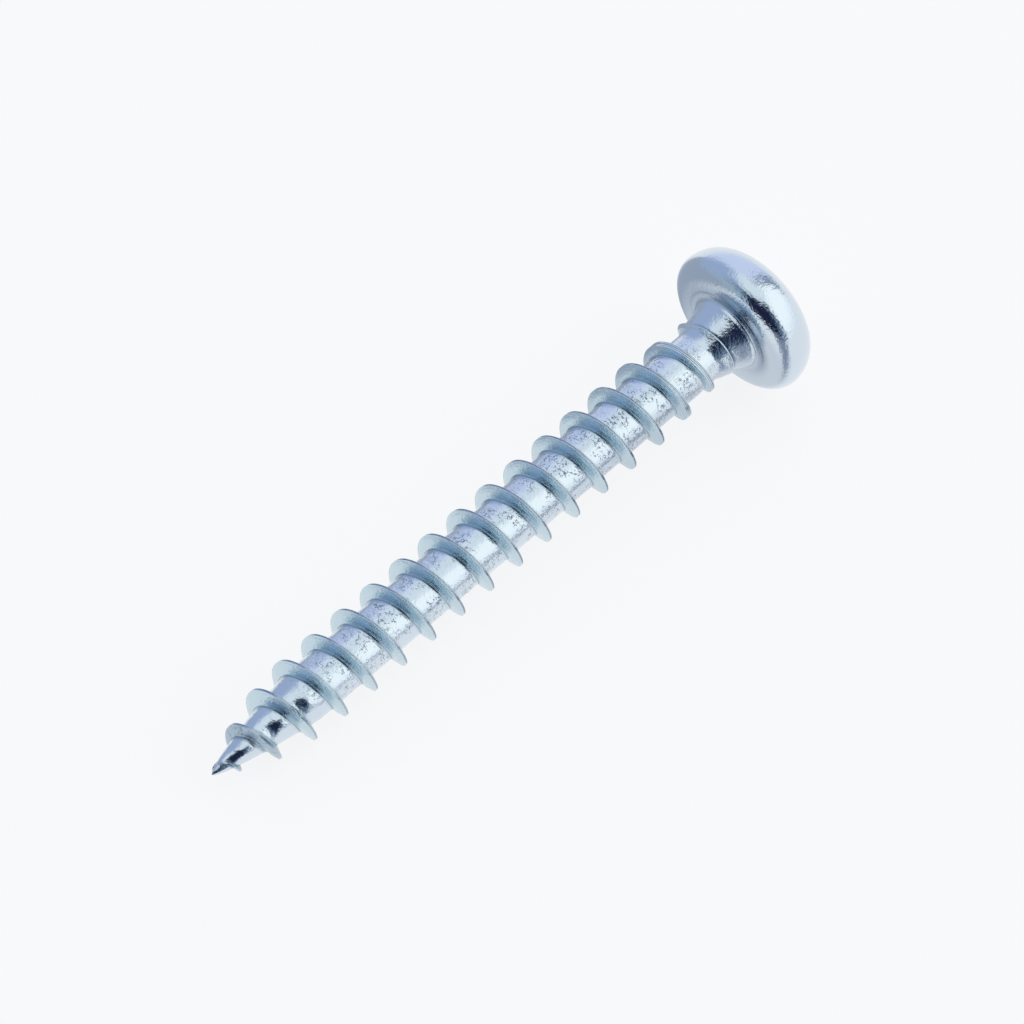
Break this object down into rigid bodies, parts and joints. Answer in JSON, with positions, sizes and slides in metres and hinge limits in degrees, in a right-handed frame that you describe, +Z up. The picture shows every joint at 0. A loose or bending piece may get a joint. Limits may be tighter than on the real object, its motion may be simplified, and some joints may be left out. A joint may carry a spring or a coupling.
{
  "type": "round head wood screw",
  "caption": "Round head wood screw with a coarse tapered thread, a ridged neck flaring into a domed head, and a cross recess; it lies on its side.",
  "frame": {"origin": "centre of the bounding box at its base, on the surface that the screw lies on", "axes": "+X along the screw from its point to its head, level with the surface; +Z up; the screw's own axis rises 3.87 degrees towards the head, because it lies on its head's rim and on a crest near the point"},
  "size_m": [0.0324, 0.0068, 0.0068],
  "materials": {
    "zinc_plated_steel": "bright blue-white zinc plating over rolled steel"
  },
  "bodies": {
    "root": {"screw": "zinc_plated_steel"}
  },
  "joints": []
}
